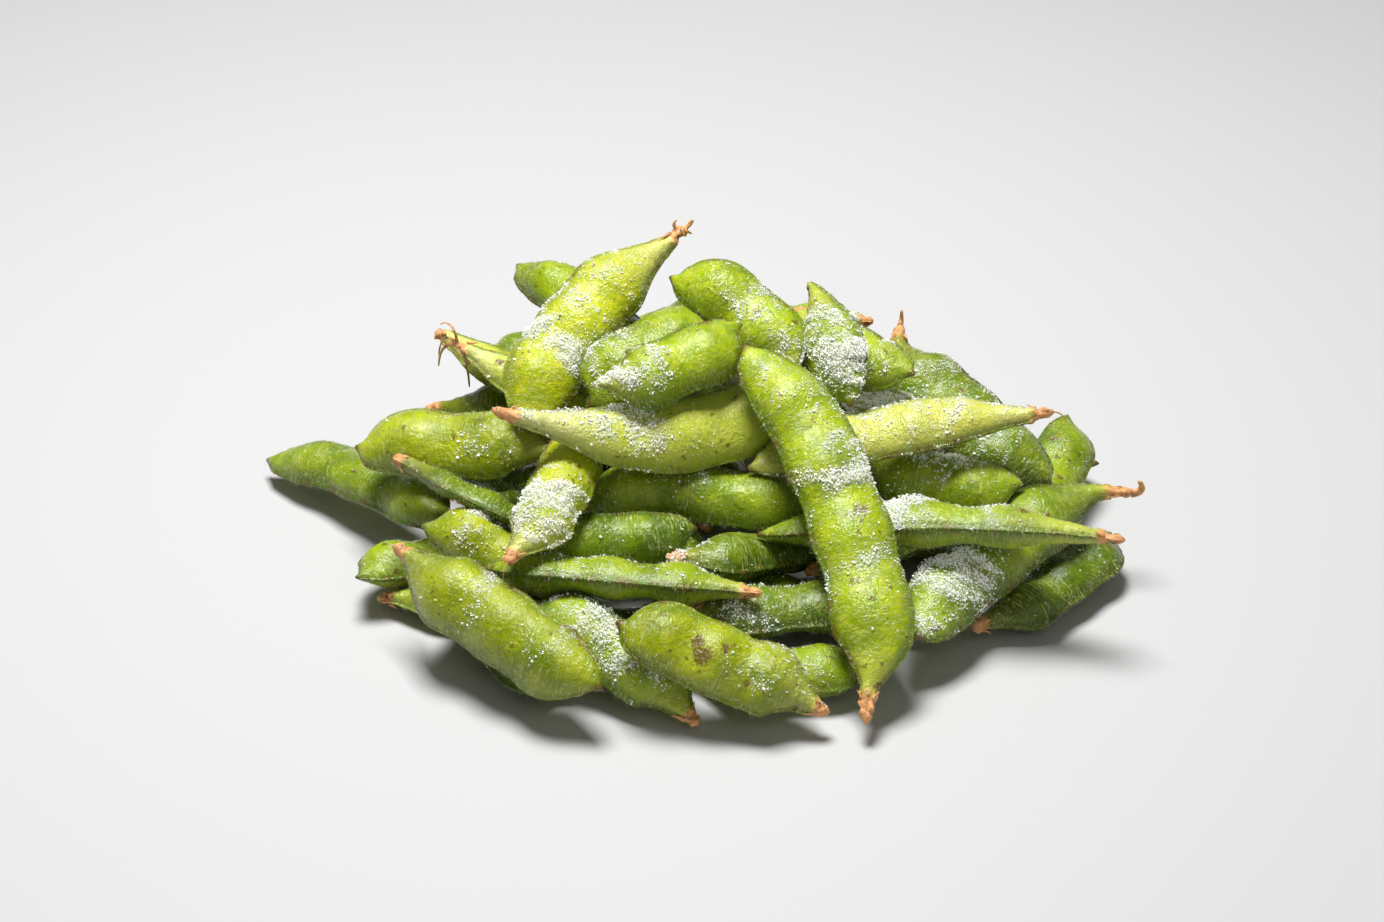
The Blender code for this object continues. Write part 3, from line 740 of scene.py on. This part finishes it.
def skin_group():
    """The colour, roughness and fine relief of a pod's skin, from the stem to the tip."""
    tree = bpy.data.node_groups.new("pod_skin", "ShaderNodeTree")
    skin_sockets(tree)
    given = tree.nodes.new("NodeGroupInput").outputs
    place = tree.nodes.new("ShaderNodeTexCoord").outputs["Object"]
    on = {name: stored(tree, name) for name in ("along", "seam", "stub", "mark", "ripeness_and_painted_light", "salt", "pale")}
    broad = noise(tree, place, BROAD)
    cloudy = noise(tree, place, CLOUDY, 4.0)
    fine = noise(tree, place, FINE, 3.0, 0.6)
    streaks = hair_streaks_and_glints(tree, place)

    colour = greens(tree, given, on, broad, cloudy, fine)
    # Deep green along the seams: the darker seam line, and painted shade on the edges that turn away from the
    # light.
    colour = laid_on(tree, colour, given["Deep"], on["seam"], 0.9)
    edge = math_of(tree, "MULTIPLY", stepped(tree, on["seam"], 0.35, 0.9), stepped(tree, cloudy, 0.48, 0.60))
    colour = laid_on(tree, colour, given["Scar"], edge, 0.65)
    # Pale streaks and flecks: partly the skin's light hairs, partly painted glints and sheen of the wet skin.
    colour = laid_on(tree, colour, given["Hair"], streaks, 0.45)
    colour = laid_on(tree, colour, given["Hair"], stepped(tree, fine, 0.60, 0.70), 0.18)
    colour = browned(tree, given, on, colour, place, cloudy, fine)
    film = math_of(tree, "MULTIPLY", on["salt"], math_of(tree, "MULTIPLY_ADD", fine, 1.2, -0.1))
    colour = mixed(tree, film, colour, given["Salt"])
    grain = stepped(tree, noise(tree, place, BARK, 4.0), 0.28, 0.50)
    colour = mixed(tree, on["stub"], colour, mixed(tree, grain, given["Scar"], given["Stem"]))

    wet = math_of(tree, "MULTIPLY_ADD", streaks, -0.16, math_of(tree, "MULTIPLY_ADD", cloudy, 0.25, 0.06))
    rough = math_of(tree, "MULTIPLY_ADD", math_of(tree, "MAXIMUM", on["stub"], on["salt"]), 0.35, wet)
    relief = math_of(tree, "MULTIPLY_ADD", streaks, 0.22, math_of(tree, "MULTIPLY", fine, 0.4))
    relief = math_of(tree, "ADD", noise(tree, place, PITTED, 2.0), relief)
    add(tree, "NodeGroupOutput", {"Color": colour, "Roughness": rough, "Height": relief})
    return tree


def skin_material(slot, group, colours):
    """The waxy, faintly glowing skin of a cooked pod, in one slot's colours."""
    material = bpy.data.materials.new(f"pod_skin_{slot}")
    material.use_nodes = True
    tree = material.node_tree
    shader = tree.nodes["Principled BSDF"]
    pattern = add(tree, "ShaderNodeGroup", node_tree=group)
    for name in SLOT_COLOURS:
        pattern.inputs[name].default_value = (*getattr(colours, f"{slot}_{name.lower()}"), 1.0)
    for name in SHARED_COLOURS:
        pattern.inputs[name].default_value = (*getattr(colours, name.lower()), 1.0)
    bump = add(tree, "ShaderNodeBump", {"Height": pattern.outputs["Height"], "Distance": colours.relief * MM})
    tree.links.new(pattern.outputs["Color"], shader.inputs["Base Color"])
    tree.links.new(pattern.outputs["Roughness"], shader.inputs["Roughness"])
    tree.links.new(bump.outputs["Normal"], shader.inputs["Normal"])
    shader.inputs["Subsurface Weight"].default_value = colours.glow
    shader.inputs["Subsurface Radius"].default_value = (0.7, 1.0, 0.2)
    shader.inputs["Subsurface Scale"].default_value = 0.0015
    shader.inputs["Coat Weight"].default_value = colours.wax
    shader.inputs["Coat Roughness"].default_value = 0.14
    shader.inputs["Specular IOR Level"].default_value = 0.46
    return material


def plain_material(name, colour, roughness, **more):
    """A material for grains and hairs, each too small to have a pattern of its own."""
    material = bpy.data.materials.new(name)
    material.use_nodes = True
    shader = material.node_tree.nodes["Principled BSDF"]
    shader.inputs["Base Color"].default_value = (*colour, 1.0)
    shader.inputs["Roughness"].default_value = roughness
    for socket, value in more.items():
        shader.inputs[socket.replace("_", " ")].default_value = value
    return material


def scatter_tree(name, store, floats):
    """A geometry tree with its sizes as named inputs, and points scattered where the skin holds most."""
    tree = bpy.data.node_groups.new(name, "GeometryNodeTree")
    tree.interface.new_socket("Geometry", in_out="INPUT", socket_type="NodeSocketGeometry")
    for socket in floats:
        tree.interface.new_socket(socket, in_out="INPUT", socket_type="NodeSocketFloat")
    tree.interface.new_socket("Seed", in_out="INPUT", socket_type="NodeSocketInt")
    tree.interface.new_socket("Material", in_out="INPUT", socket_type="NodeSocketMaterial")
    tree.interface.new_socket("Geometry", in_out="OUTPUT", socket_type="NodeSocketGeometry")
    given = tree.nodes.new("NodeGroupInput").outputs
    field = add(tree, "GeometryNodeInputNamedAttribute", {"Name": store}, data_type="FLOAT").outputs[0]
    density = math_of(tree, "MULTIPLY", field, given["Per m2"])
    points = add(tree, "GeometryNodeDistributePointsOnFaces",
                 {"Mesh": given["Geometry"], "Density": density, "Seed": given["Seed"]})
    return tree, given, field, points


def random_vector(tree, low, high, seed):
    """Three random numbers for each point."""
    inputs = {0: (low,) * 3, 1: (high,) * 3, "Seed": seed}
    return add(tree, "FunctionNodeRandomValue", inputs, data_type="FLOAT_VECTOR").outputs[0]


def scaled(tree, vector, share):
    """A vector times a number."""
    node = add(tree, "ShaderNodeVectorMath", {0: vector, "Scale": share}, operation="SCALE")
    return node.outputs[0]


def finish_tree(tree, points, shape, rotation, scale, material):
    """Sets the shape on every point, makes it real and gives it its material."""
    inputs = {"Points": points, "Instance": shape, "Rotation": rotation, "Scale": scale}
    real = add(tree, "GeometryNodeRealizeInstances",
               {"Geometry": add(tree, "GeometryNodeInstanceOnPoints", inputs).outputs[0]})
    done = add(tree, "GeometryNodeSetMaterial", {"Geometry": real.outputs[0], "Material": material})
    add(tree, "NodeGroupOutput", {"Geometry": done.outputs[0]})


def random_number(tree, low, high, seed):
    """One random number for each point."""
    return add(tree, "FunctionNodeRandomValue", {2: low, 3: high, "Seed": seed}, data_type="FLOAT").outputs[1]


def leaning(tree, normal, lean):
    """A turn that stands a shape on the skin, leaning off its normal."""
    heading = add(tree, "ShaderNodeVectorMath", {0: normal, 1: lean}, operation="ADD")
    return add(tree, "FunctionNodeAlignRotationToVector", {"Vector": heading.outputs[0]}, axis="Z").outputs[0]


def salt_tree():
    """Grains of salt: small flat boxes that lie on the skin, heaped where the salt is thick."""
    tree, given, field, points = scatter_tree("salt_grains", "salt", ("Per m2", "Size", "Heap"))
    seed = given["Seed"]
    height = random_number(tree, 0.0, given["Heap"], seed)
    height = math_of(tree, "MULTIPLY", height, math_of(tree, "POWER", field, 2.0))
    height = math_of(tree, "MULTIPLY_ADD", given["Size"], 0.25, height)
    offset = scaled(tree, points.outputs["Normal"], height)
    lifted = add(tree, "GeometryNodeSetPosition", {"Geometry": points.outputs["Points"], "Offset": offset})
    grain = add(tree, "GeometryNodeMeshCube", {"Size": GRAIN_SIDES}).outputs["Mesh"]
    scale = scaled(tree, random_vector(tree, 0.45, 1.25, seed), given["Size"])
    lean = random_vector(tree, -GRAIN_LEAN, GRAIN_LEAN, seed)
    turn = leaning(tree, points.outputs["Normal"], lean)
    finish_tree(tree, lifted.outputs[0], grain, turn, scale, given["Material"])
    return tree


def hair_tree():
    """Short hairs: thin three-sided spikes that stand off the skin and lean every way."""
    tree, given, _, points = scatter_tree("skin_hairs", "fuzz", ("Per m2", "Length", "Thickness", "Lean"))
    seed = given["Seed"]
    spike = add(tree, "GeometryNodeMeshCone",
                {"Vertices": 3, "Side Segments": 1, "Fill Segments": 1, "Radius Top": 0.0,
                 "Radius Bottom": 1.0, "Depth": 1.0}).outputs["Mesh"]
    lean = scaled(tree, random_vector(tree, -1.0, 1.0, seed), given["Lean"])
    turn = leaning(tree, points.outputs["Normal"], lean)
    length = math_of(tree, "MULTIPLY", given["Length"], random_number(tree, 0.5, 1.2, seed))
    scale = add(tree, "ShaderNodeCombineXYZ",
                {"X": given["Thickness"], "Y": given["Thickness"], "Z": length})
    finish_tree(tree, points.outputs["Points"], spike, turn, scale.outputs[0], given["Material"])
    return tree


def grown(source, tree, values):
    """What a geometry tree makes on a mesh, as a plain mesh."""
    carrier = bpy.data.objects.new("carrier", source)
    bpy.context.scene.collection.objects.link(carrier)
    modifier = carrier.modifiers.new("grown", "NODES")
    modifier.node_group = tree
    for item in tree.interface.items_tree:
        if item.in_out == "INPUT" and item.name in values:
            modifier[item.identifier] = values[item.name]
    evaluated = carrier.evaluated_get(bpy.context.evaluated_depsgraph_get())
    made = bpy.data.meshes.new_from_object(evaluated)
    bpy.data.objects.remove(carrier)
    return made


def gathered(name, meshes, material):
    """Several plain meshes as one object at the origin."""
    bm = bmesh.new()
    for mesh in meshes:
        bm.from_mesh(mesh)
        bpy.data.meshes.remove(mesh)
    whole = bpy.data.meshes.new(name)
    bm.to_mesh(whole)
    bm.free()
    whole.materials.append(material)
    whole.polygons.foreach_set("material_index", np.zeros(len(whole.polygons), np.int32))
    piece = bpy.data.objects.new(name, whole)
    bpy.context.scene.collection.objects.link(piece)
    return piece


# ---------------------------------------------------------------------------- settings

def colour_of(name, description, default):
    """A colour that a user may change."""
    return FloatVectorProperty(name=name, description=description, subtype="COLOR", size=3, min=0.0, max=1.0,
                               default=default)


class PodSettings(bpy.types.PropertyGroup):
    """Sizes of what the skins add to the solids."""
    around: IntProperty(name="Around", description="Corners round a pod", default=44, min=12)
    lengthwise: IntProperty(name="Lengthwise", description="Corners along a pod", default=112, min=20)
    hidden_around: IntProperty(name="Hidden around", description="Corners round a hidden pod", default=30)
    hidden_lengthwise: IntProperty(name="Hidden lengthwise", description="Corners along it", default=70)
    lens: FloatProperty(name="Lens", description="How sharply the flat sides meet at the seams", default=1.25)
    seam_rise: FloatProperty(name="Seam rise", description="Height of the seam's bead, in mm", default=0.75)
    beak: FloatProperty(name="Beak", description="Length of the beak at the tip, in mm", default=1.3)
    lumps: FloatProperty(name="Lumps", description="Height of the skin's lumps, in mm", default=0.11)
    creases: FloatProperty(name="Creases", description="Depth of the creases between beans, in mm",
                           default=0.08)


class SkinSettings(bpy.types.PropertyGroup):
    """Colours of the skins, by slot, and what they share."""
    fresh_deep: colour_of("Fresh deep", "Shaded green of a fresh pod", (0.080, 0.155, 0.001))
    fresh_bright: colour_of("Fresh bright", "Main green of a fresh pod", (0.380, 0.510, 0.003))
    fresh_yellow: colour_of("Fresh yellow", "Yellower clouds on it", (0.600, 0.660, 0.006))
    fresh_neck: colour_of("Fresh neck", "Its neck", (0.600, 0.620, 0.090))
    yellow_deep: colour_of("Yellow deep", "Shaded green of a yellower pod", (0.150, 0.220, 0.001))
    yellow_bright: colour_of("Yellow bright", "Its main green", (0.520, 0.600, 0.003))
    yellow_yellow: colour_of("Yellow yellow", "Yellower clouds on it", (0.760, 0.740, 0.010))
    yellow_neck: colour_of("Yellow neck", "Its neck", (0.740, 0.710, 0.220))
    dark_deep: colour_of("Dark deep", "Shaded green of a dark pod", (0.035, 0.078, 0.001))
    dark_bright: colour_of("Dark bright", "Its main green", (0.170, 0.270, 0.002))
    dark_yellow: colour_of("Dark yellow", "Yellower clouds on it", (0.320, 0.360, 0.004))
    dark_neck: colour_of("Dark neck", "Its neck", (0.330, 0.320, 0.030))
    pale_deep: colour_of("Pale deep", "Shaded green of a pale pod", (0.190, 0.270, 0.002))
    pale_bright: colour_of("Pale bright", "Its main green", (0.560, 0.650, 0.018))
    pale_yellow: colour_of("Pale yellow", "Yellower clouds on it", (0.680, 0.680, 0.060))
    pale_neck: colour_of("Pale neck", "Its neck", (0.740, 0.720, 0.300))
    stem: colour_of("Stem", "Dried stem and calyx", (0.800, 0.390, 0.150))
    scar: colour_of("Scar", "Brown marks, seams and tips", (0.140, 0.062, 0.016))
    # The hair colour also paints glints: it lightens the streaks and flecks where the wet skin shines.
    hair: colour_of("Hair", "Light hairs pressed to the skin", (0.720, 0.780, 0.240))
    salt: colour_of("Salt", "Film of salt", (0.860, 0.880, 0.760))
    glow: FloatProperty(name="Glow", description="Light that passes under the skin", default=0.16,
                        subtype="FACTOR")
    wax: FloatProperty(name="Wax", description="Weight of the waxy coat", default=0.06, subtype="FACTOR")
    relief: FloatProperty(name="Relief", description="Height of the fine relief, in mm", default=0.34)


class SaltSettings(bpy.types.PropertyGroup):
    """Sizes and numbers of the grains."""
    fine: FloatProperty(name="Fine", description="Size of a fine grain, in mm", default=0.22)
    fine_number: FloatProperty(name="Fine number", description="Fine grains on a mm2 of thick salt",
                               default=20.0)
    coarse: FloatProperty(name="Coarse", description="Size of a coarse grain, in mm", default=0.40)
    coarse_number: FloatProperty(name="Coarse number", description="Coarse grains on a mm2", default=2.0)
    heap: FloatProperty(name="Heap", description="Height of a heap, in mm", default=1.3)
    colour: colour_of("Salt", "Colour of the grains", (0.97, 0.98, 0.93))
    # This glow is an emission: painted light that lightens the grains' shaded sides, standing in for the
    # light that real crystals pass on.
    glow: FloatProperty(name="Glow", description="Light that a grain passes to its shaded sides",
                        default=0.07)


class HairSettings(bpy.types.PropertyGroup):
    """Sizes and numbers of the hairs."""
    length: FloatProperty(name="Length", description="Length of a hair, in mm", default=1.0)
    thickness: FloatProperty(name="Thickness", description="Half thickness at its root, in mm", default=0.020)
    number: FloatProperty(name="Number", description="Hairs on a mm2", default=2.0)
    lean: FloatProperty(name="Lean", description="How far hairs lean, 0 for upright", default=1.4)
    colour: colour_of("Hair", "Colour of the hairs", (0.74, 0.76, 0.55))


class StageSettings(bpy.types.PropertyGroup):
    """Floor, light and camera."""
    floor: FloatProperty(name="Floor", description="Width of the floor", default=4.0, unit="LENGTH")
    floor_colour: colour_of("Floor colour", "Pale floor", (0.57, 0.57, 0.57))
    elevation: FloatProperty(name="Elevation", description="Camera's height angle", unit="ROTATION",
                             subtype="ANGLE", default=math.radians(32.0))
    distance: FloatProperty(name="Distance", description="Camera to the bunch", default=0.57, unit="LENGTH")
    lens: FloatProperty(name="Lens", description="Focal length, in mm", default=80.0)
    key: FloatProperty(name="Key", description="Power of the overhead light, in W", default=6.0)
    fill: FloatProperty(name="Fill", description="Power of the front light, in W", default=0.5)
    sky: FloatProperty(name="Sky", description="Strength of the light all round", default=0.09)


# ---------------------------------------------------------------------------- operators

def ride_along(piece, slot=None, *nodes):
    """Ties a finished piece to the bunch and hides the solids that it stands for; the slot is not used."""
    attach(piece, "root")
    if nodes:
        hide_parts(*nodes)


def lay_floor(stage, scene):
    """A plain pale floor under the bunch."""
    mesh = bpy.data.meshes.new("floor")
    bm = bmesh.new()
    bmesh.ops.create_grid(bm, x_segments=1, y_segments=1, size=0.5 * stage.floor)
    bm.to_mesh(mesh)
    bm.free()
    mesh.materials.append(plain_material("floor", stage.floor_colour, 0.6))
    floor = bpy.data.objects.new("floor", mesh)
    floor.location.z = CAD_BOX[0].z
    scene.collection.objects.link(floor)


def hang_light(scene, name, place, size, power):
    """A square soft light that faces the bunch."""
    data = bpy.data.lights.new(name, "AREA")
    data.shape = "SQUARE"
    data.size = size * MM
    data.energy = power
    lamp = bpy.data.objects.new(name, data)
    lamp.location = Vector(place) * MM
    lamp.rotation_euler = (Vector(LIT_POINT) - Vector(place)).to_track_quat("-Z", "Y").to_euler()
    scene.collection.objects.link(lamp)


def light_sky(stage, scene):
    """White light from all round."""
    world = bpy.data.worlds.new("sky")
    world.use_nodes = True
    background = world.node_tree.nodes["Background"]
    background.inputs["Color"].default_value = (1.0, 1.0, 1.0, 1.0)
    background.inputs["Strength"].default_value = stage.sky
    scene.world = world


def place_camera(stage, scene):
    """The camera, looking down at the front of the bunch."""
    data = bpy.data.cameras.new("camera")
    data.lens = stage.lens
    data.sensor_width = FILM_WIDTH
    camera = bpy.data.objects.new("camera", data)
    back = Vector((0.0, -math.cos(stage.elevation), math.sin(stage.elevation)))
    camera.location = Vector(CAMERA_AIM) * MM + back * stage.distance
    camera.rotation_euler = (-back).to_track_quat("-Z", "Y").to_euler()
    scene.collection.objects.link(camera)
    scene.camera = camera


class EDAMAME_OT_stage(bpy.types.Operator):
    """Pale floor, soft light and the camera"""
    bl_idname = "edamame.stage"
    bl_label = "Stage"

    def execute(self, context):
        scene = context.scene
        stage = scene.edamame_stage
        lay_floor(stage, scene)
        light_sky(stage, scene)
        hang_light(scene, "key", KEY_PLACE, KEY_SIZE, stage.key)
        hang_light(scene, "fill", FILL_PLACE, FILL_SIZE, stage.fill)
        place_camera(stage, scene)
        scene.view_settings.view_transform = "Standard"
        return {"FINISHED"}


class EDAMAME_OT_pods(bpy.types.Operator):
    """Every pod's skin and stem, over its solid"""
    bl_idname = "edamame.pods"
    bl_label = "Pods"

    def execute(self, context):
        size, colours = context.scene.edamame_pods, context.scene.edamame_skin
        group = skin_group()
        skins = {slot: skin_material(slot, group, colours) for slot in SLOTS}
        for seed, pod in enumerate(PODS):
            mesh = make_pod(pod, 10 * seed, size)
            mesh.materials.append(skins[pod.slot])
            piece = bpy.data.objects.new(pod.name + "_pod", mesh)
            context.scene.collection.objects.link(piece)
            ride_along(piece, pod.slot, pod.name)
        return {"FINISHED"}


def regions():
    """The pods in a few regions, so that no piece of salt or hair is too large."""
    groups = [[] for _ in range(REGIONS)]
    for index, pod in enumerate(PODS):
        groups[index * REGIONS // len(PODS)].append(pod)
    return groups


def cover(name, tree, values, material, groups):
    """Covers each group of pods with what a geometry tree makes, as one piece for each group."""
    for place, pods in enumerate(groups):
        values = {**values, "Seed": place + 1, "Material": material}
        made = [grown(bpy.data.meshes[pod.name + "_pod"], tree, values) for pod in pods]
        ride_along(gathered(f"{name}_{place + 1}", made, material))


class EDAMAME_OT_salt(bpy.types.Operator):
    """Fine and coarse grains of salt on the pods"""
    bl_idname = "edamame.salt"
    bl_label = "Salt"

    def execute(self, context):
        salt = context.scene.edamame_salt
        tree = salt_tree()
        kinds = (
            ("fine", salt.fine, salt.fine_number, 0.30),
            ("coarse", salt.coarse, salt.coarse_number, 0.16),
        )
        for kind, size, number, roughness in kinds:
            # The grains' emission is painted light on their shaded sides.
            material = plain_material(f"salt_{kind}", salt.colour, roughness,
                                      Emission_Color=(*salt.colour, 1.0), Emission_Strength=salt.glow)
            values = {"Per m2": number / MM ** 2, "Size": size * MM, "Heap": salt.heap * MM}
            cover(f"salt_{kind}", tree, values, material, regions())
        return {"FINISHED"}


class EDAMAME_OT_hairs(bpy.types.Operator):
    """Short pale hairs on the pods"""
    bl_idname = "edamame.hairs"
    bl_label = "Hairs"

    def execute(self, context):
        hair = context.scene.edamame_hairs
        tree = hair_tree()
        material = plain_material("skin_hair", hair.colour, 0.35)
        values = {"Per m2": hair.number / MM ** 2, "Length": hair.length * MM,
                  "Thickness": hair.thickness * MM, "Lean": hair.lean}
        seen = [[pod for pod in group if not pod.hidden] for group in regions()]
        cover("hairs", tree, values, material, seen)
        return {"FINISHED"}


class EDAMAME_PT_panel(bpy.types.Panel):
    """The bunch's settings and steps"""
    bl_idname = "EDAMAME_PT_panel"
    bl_label = "Edamame Pod Bundle"
    bl_space_type = "VIEW_3D"
    bl_region_type = "UI"
    bl_category = "Edamame"

    def draw(self, context):
        for operator in OPERATORS:
            self.layout.operator(operator.bl_idname)
        for name in SETTINGS:
            group = getattr(context.scene, name)
            for prop in group.bl_rna.properties:
                if prop.identifier not in ("rna_type", "name"):
                    self.layout.prop(group, prop.identifier)


OPERATORS = (EDAMAME_OT_stage, EDAMAME_OT_pods, EDAMAME_OT_salt, EDAMAME_OT_hairs)
SETTINGS = {
    "edamame_stage": StageSettings,
    "edamame_pods": PodSettings,
    "edamame_skin": SkinSettings,
    "edamame_salt": SaltSettings,
    "edamame_hairs": HairSettings,
}


def register():
    """Adds the settings, the operators and the panel."""
    for name, settings in SETTINGS.items():
        bpy.utils.register_class(settings)
        setattr(bpy.types.Scene, name, PointerProperty(type=settings))
    for kind in (*OPERATORS, EDAMAME_PT_panel):
        bpy.utils.register_class(kind)


def unregister():
    """Takes them away again."""
    for kind in (EDAMAME_PT_panel, *reversed(OPERATORS)):
        bpy.utils.unregister_class(kind)
    for name, settings in SETTINGS.items():
        delattr(bpy.types.Scene, name)
        bpy.utils.unregister_class(settings)


def main():
    """Makes every piece in turn."""
    register()
    bpy.ops.edamame.stage()
    bpy.ops.edamame.pods()
    bpy.ops.edamame.salt()
    bpy.ops.edamame.hairs()


if __name__ == "__main__":
    main()
